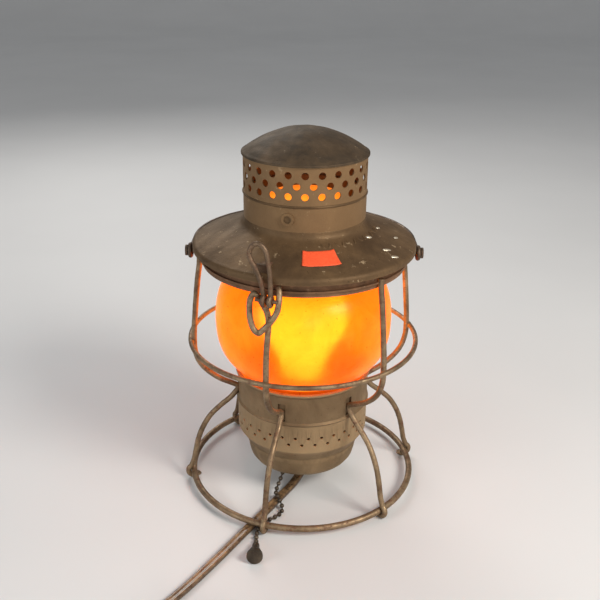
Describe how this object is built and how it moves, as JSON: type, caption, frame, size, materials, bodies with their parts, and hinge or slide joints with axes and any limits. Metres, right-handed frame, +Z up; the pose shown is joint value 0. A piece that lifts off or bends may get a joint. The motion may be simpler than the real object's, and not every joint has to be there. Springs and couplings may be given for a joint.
{
  "type": "railway lantern",
  "caption": "Wire-guarded hand lantern with a hinged vented lid, amber globe, bail and spring latch, converted to an electric table lamp with a pull chain.",
  "frame": {"origin": "on the lantern's vertical axis, in the plane its six wire feet stand on", "axes": "+Z up along the lantern's axis; -Y is the front, where the price label is; the latch is 17.5 degrees to the left of the front and the lid's hinge is at the back"},
  "size_m": [0.1883, 0.3531, 0.254],
  "materials": {
    "lid_paint": "dull aged paint with scuffs and soot",
    "bare_tin": "worn, browned tin",
    "pot_paint": "dull aged paint, thin over the beads",
    "guard_steel": "tarnished wire with rust freckles",
    "dark_steel": "dark, rusted wire",
    "spring_steel": "plain",
    "zinc_steel": "dull plating",
    "amber_glass": "frosted amber",
    "frosted_glass": "frosted white",
    "clear_glass": "clear",
    "lampholder_brass": "dull",
    "fibre_liner": "pressed fibre",
    "black_moulding": "moulded black",
    "lamp_cap_metal": "plain",
    "cord_sheath": "glossy dark brown, dusty",
    "chain_metal": "blackened",
    "label_paper": "orange-red paper, blank",
    "tie_wire": "plain"
  },
  "bodies": {
    "frame": {"top_ring": "bare_tin", "frame_hinge_leaf": "bare_tin", "hinge_pin": "dark_steel", "bail_studs": "dark_steel", "guard_ring": "guard_steel", "base_ring": "guard_steel", "guard_wire_left": "guard_steel", "guard_wire_latch": "guard_steel", "guard_wire_front": "guard_steel", "guard_wire_right": "guard_steel", "guard_wire_hinge": "guard_steel", "guard_wire_back": "guard_steel", "latch_pin": "dark_steel", "globe": "amber_glass", "globe_seat": "bare_tin", "pot_shell": "pot_paint", "pot_cup": "pot_paint", "socket_bracket": "zinc_steel", "bracket_rivets": "zinc_steel", "nipple": "lampholder_brass", "nipple_nuts": "lampholder_brass", "socket_cap": "lampholder_brass", "socket_shell": "lampholder_brass", "socket_liner": "fibre_liner", "screw_shell": "lampholder_brass", "center_contact": "lampholder_brass", "switch_box": "black_moulding", "bulb_glass": "frosted_glass", "bulb_stem": "clear_glass", "bulb_filament": "spring_steel", "bulb_base": "lamp_cap_metal", "bulb_insulator": "black_moulding", "bulb_tip": "lamp_cap_metal", "socket_leads": "cord_sheath", "chain_grommet": "black_moulding", "cord_relief": "black_moulding", "pull_chain": "chain_metal", "pull_bell": "chain_metal", "power_cord": "cord_sheath", "cord_coil": "cord_sheath", "cord_tie": "tie_wire", "plug_body": "cord_sheath", "plug_blades": "lampholder_brass"},
    "lid": {"dome_cap": "lid_paint", "vent_band": "lid_paint", "collar": "lid_paint", "collar_bead": "lid_paint", "collar_rivet": "lid_paint", "lid_plate": "lid_paint", "lid_skirt": "bare_tin", "flue_tube": "bare_tin", "globe_crown": "bare_tin", "crown_springs": "spring_steel", "lid_catch": "dark_steel", "price_label": "label_paper", "lid_hinge_leaf": "lid_paint"},
    "hasp": {"latch_hasp": "dark_steel"},
    "bail": {"bail_wire": "dark_steel"},
    "switch_arm": {"pull_arm": "lampholder_brass"}
  },
  "joints": [
    {"name": "lid_hinge", "type": "hinge", "parent": "frame", "child": "lid", "pos_m": [0.02588, 0.07517, 0.1745], "axis": [-0.9455, 0.3256, 0], "range_deg": [0, 105]},
    {"name": "hasp_pivot", "type": "hinge", "parent": "frame", "child": "hasp", "pos_m": [-0.02285, -0.07248, 0.1668], "axis": [0.9537, -0.3007, 0], "range_deg": [0, 155]},
    {"name": "bail_swing", "type": "hinge", "parent": "frame", "child": "bail", "pos_m": [0, 0, 0.1715], "axis": [1, 0, 0], "range_deg": [-8, 189]},
    {"name": "switch_pull", "type": "hinge", "parent": "frame", "child": "switch_arm", "pos_m": [-0.01075, -0.02022, 0.05], "axis": [0.8829, -0.4695, 0], "range_deg": [0, 25], "stiffness_Nm_per_rad": 0.01}
  ]
}
